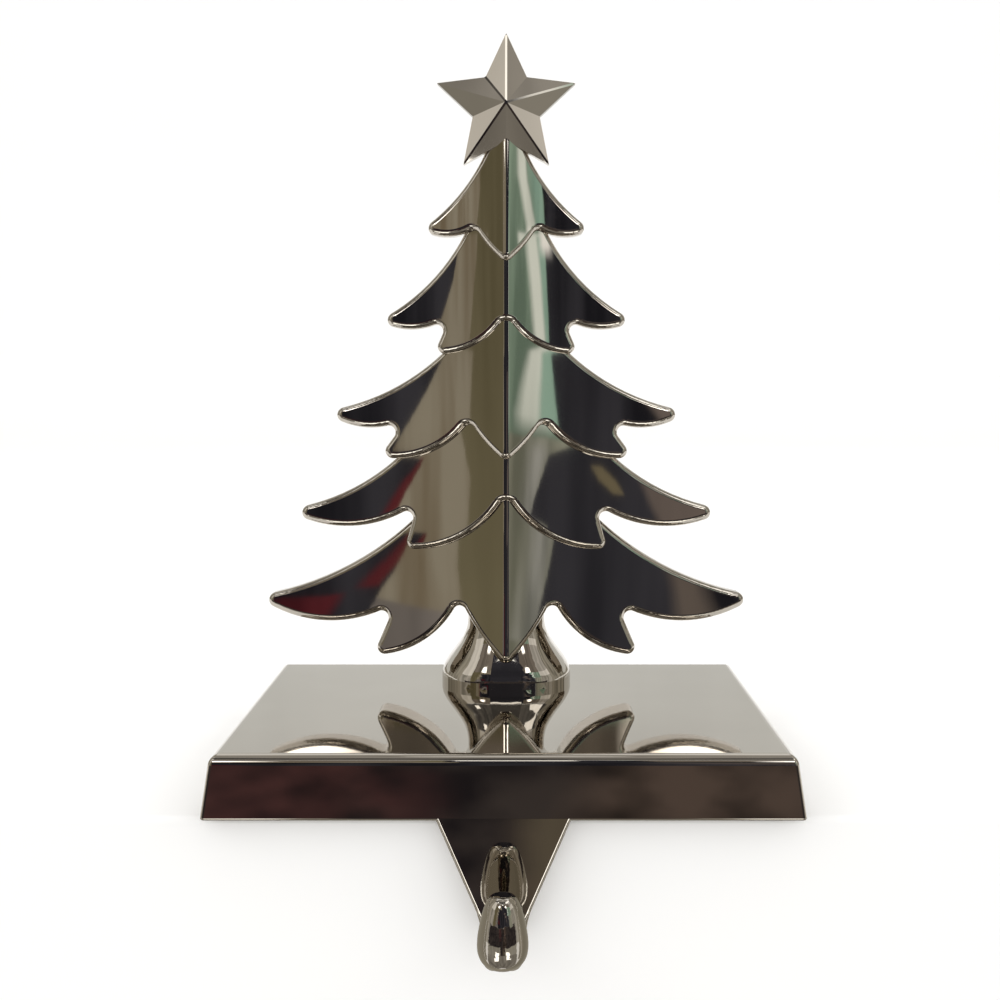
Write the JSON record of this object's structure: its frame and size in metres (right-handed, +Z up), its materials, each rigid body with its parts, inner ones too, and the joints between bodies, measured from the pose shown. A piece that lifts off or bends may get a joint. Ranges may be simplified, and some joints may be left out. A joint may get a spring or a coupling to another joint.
{
  "type": "mantel stocking holder",
  "caption": "Polished metal tree with a star on a flat rectangular base that stands on a shelf; a hook below the front edge holds a hanging stocking.",
  "frame": {"origin": "middle of the shelf's front top edge: the plane of the pads' undersides meets the plane of the tongue's back, on the tongue's centre line", "axes": "+Z up, +Y from the viewer into the shelf, +X to the viewer's right"},
  "size_m": [0.1236, 0.1099, 0.2033],
  "materials": {
    "nickel": "polished nickel plate on a zinc alloy casting",
    "pad_rubber": "matt non-slip rubber",
    "zinc_steel": "bright zinc-plated steel"
  },
  "bodies": {
    "root": {"base": "nickel", "tree": "nickel", "pads": "pad_rubber", "washer": "zinc_steel", "screw": "zinc_steel"}
  },
  "joints": []
}
